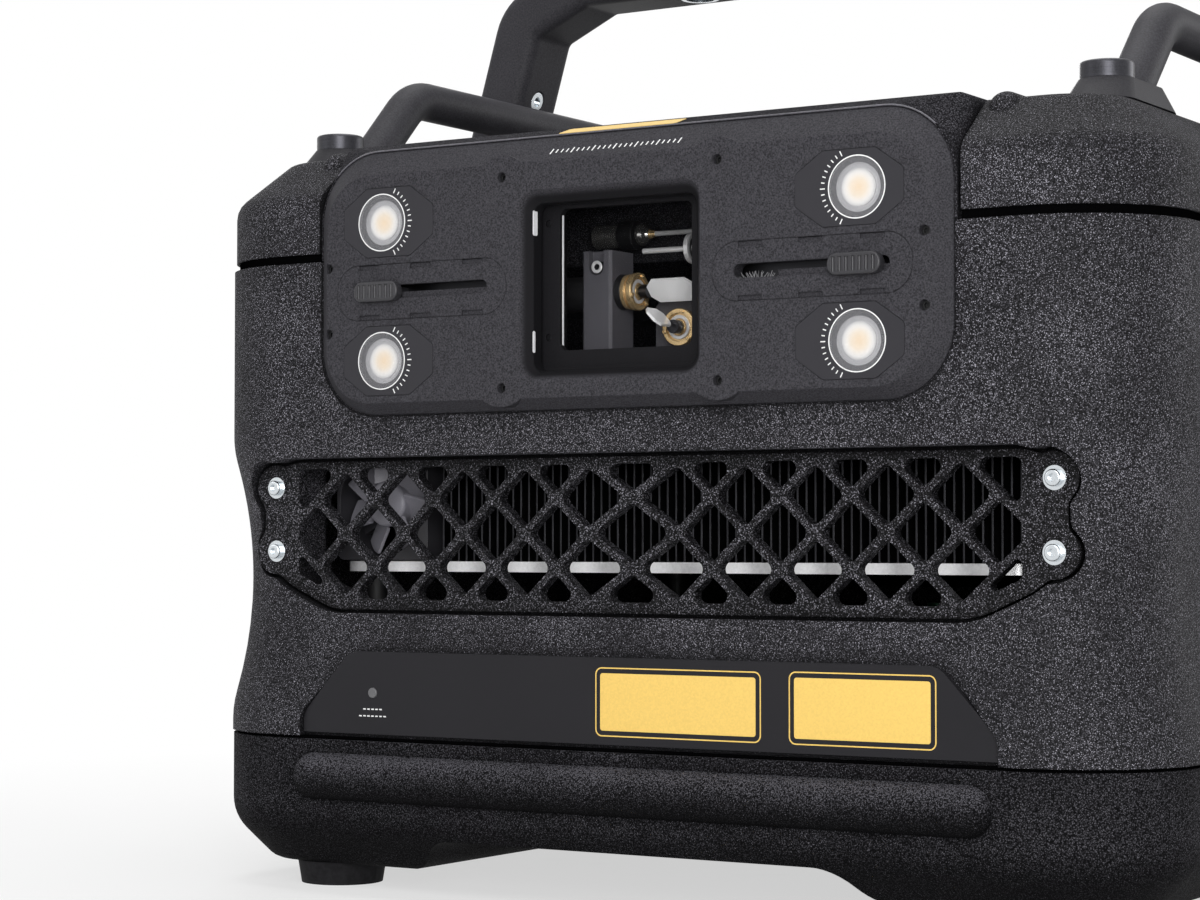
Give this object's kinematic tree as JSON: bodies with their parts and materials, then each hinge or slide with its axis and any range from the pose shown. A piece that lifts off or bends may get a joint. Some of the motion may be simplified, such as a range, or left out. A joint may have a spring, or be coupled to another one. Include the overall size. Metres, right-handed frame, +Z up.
{
  "type": "laser show projector",
  "caption": "Boxy black laser show projector with waisted case, sliding aperture masks, strobe lights, lattice air grille, tube carrying handles and a tilting mounting yoke.",
  "frame": {"origin": "middle of the box around the projector, on the floor its feet stand on", "axes": "+X to the right seen from the front, +Y from the front to the back, +Z up"},
  "size_m": [0.5026, 0.4784, 0.4023],
  "materials": {
    "case_black": "textured",
    "satin_black": "satin",
    "plate_black": "fine texture",
    "tube_black": "powder coat",
    "rubber_black": "matte",
    "bezel_grey": "satin",
    "dark_steel": "blackened",
    "zinc": "zinc plated",
    "brass": "turned",
    "mirror": "polished",
    "clear_glass": "clear",
    "led_yellow": "phosphor",
    "black_aluminium": "anodised",
    "bare_aluminium": "milled",
    "board_green": "lacquered"
  },
  "bodies": {
    "case": {"base_tray": "case_black", "rubber_feet": "rubber_black", "base_seal": "rubber_black", "main_housing": "case_black", "lid_seal": "rubber_black", "top_lid": "case_black", "aperture_hood": "satin_black", "face_plate": "plate_black", "face_plate_screws": "dark_steel", "strobe_bezels": "bezel_grey", "strobe_lenses": "clear_glass", "strobe_leds": "led_yellow", "slider_tracks": "satin_black", "slot_brushes": "rubber_black", "window_frame": "plate_black", "optics_screws": "zinc", "aperture_glass": "clear_glass", "optical_bench": "black_aluminium", "bench_posts": "bare_aluminium", "scanner_blocks": "black_aluminium", "output_motor": "brass", "input_motor": "brass", "optics_mounts": "black_aluminium", "laser_modules": "black_aluminium", "combining_filters": "clear_glass", "front_grille": "plate_black", "rear_grille": "plate_black", "case_screws": "zinc", "heatsink": "black_aluminium", "duct_plate": "bare_aluminium", "fan_frames": "satin_black", "indicator_panel": "satin_black", "emission_led": "clear_glass", "handle_feet": "satin_black", "handle_left": "tube_black", "handle_right": "tube_black", "handle_caps": "satin_black", "pivot_bushes": "brass", "rear_panel": "tube_black", "rear_sockets": "satin_black", "network_socket": "satin_black", "key_switch": "zinc", "power_supply": "bare_aluminium", "control_board": "board_green"},
    "yoke": {"yoke": "tube_black", "yoke_fittings": "zinc"},
    "knob_left": {"yoke_knob_left": "satin_black"},
    "knob_right": {"yoke_knob_right": "satin_black"},
    "mask_left": {"slider_button_left": "satin_black", "mask_blade_left": "dark_steel"},
    "mask_right": {"slider_button_right": "satin_black", "mask_blade_right": "dark_steel"},
    "scan_input": {"input_shaft": "zinc", "input_mirror": "mirror"},
    "scan_output": {"output_shaft": "zinc", "output_mirror": "mirror"},
    "fan_front": {"fan_rotor_front": "bezel_grey"},
    "fan_rear_left": {"fan_rotor_rear_left": "bezel_grey"},
    "fan_rear_right": {"fan_rotor_rear_right": "bezel_grey"},
    "key": {"key_plug": "brass"}
  },
  "joints": [
    {"name": "yoke_tilt", "type": "hinge", "parent": "case", "child": "yoke", "pos_m": [0, 0.00195, 0.15], "axis": [1, 0, 0], "range_deg": [-25, 25]},
    {"name": "knob_left_turn", "type": "hinge", "parent": "case", "child": "knob_left", "pos_m": [-0.228, 0.00195, 0.15], "axis": [-1, 0, 0], "range_deg": [0, 360]},
    {"name": "knob_right_turn", "type": "hinge", "parent": "case", "child": "knob_right", "pos_m": [0.228, 0.00195, 0.15], "axis": [1, 0, 0], "range_deg": [0, 360]},
    {"name": "mask_left_slide", "type": "slide", "parent": "case", "child": "mask_left", "axis": [1, 0, 0], "range_m": [0, 0.037]},
    {"name": "mask_right_slide", "type": "slide", "parent": "case", "child": "mask_right", "axis": [-1, 0, 0], "range_m": [0, 0.037]},
    {"name": "scan_input_swing", "type": "hinge", "parent": "case", "child": "scan_input", "pos_m": [0, -0.18505, 0.214], "axis": [0, 1, 0], "range_deg": [-12.5, 12.5]},
    {"name": "scan_output_swing", "type": "hinge", "parent": "case", "child": "scan_output", "pos_m": [0, -0.19025, 0.2275], "axis": [1, 0, 0], "range_deg": [-12.5, 12.5]},
    {"name": "fan_front_spin", "type": "hinge", "parent": "case", "child": "fan_front", "pos_m": [-0.126, -0.19, 0.149], "axis": [0, 1, 0], "continuous": true},
    {"name": "fan_rear_left_spin", "type": "hinge", "parent": "case", "child": "fan_rear_left", "pos_m": [-0.062, 0.194, 0.149], "axis": [0, 1, 0], "continuous": true},
    {"name": "fan_rear_right_spin", "type": "hinge", "parent": "case", "child": "fan_rear_right", "pos_m": [0.062, 0.194, 0.149], "axis": [0, 1, 0], "continuous": true},
    {"name": "key_turn", "type": "hinge", "parent": "case", "child": "key", "pos_m": [0.12112, 0.2298, 0.211], "axis": [0, -1, 0], "range_deg": [0, 90]}
  ]
}
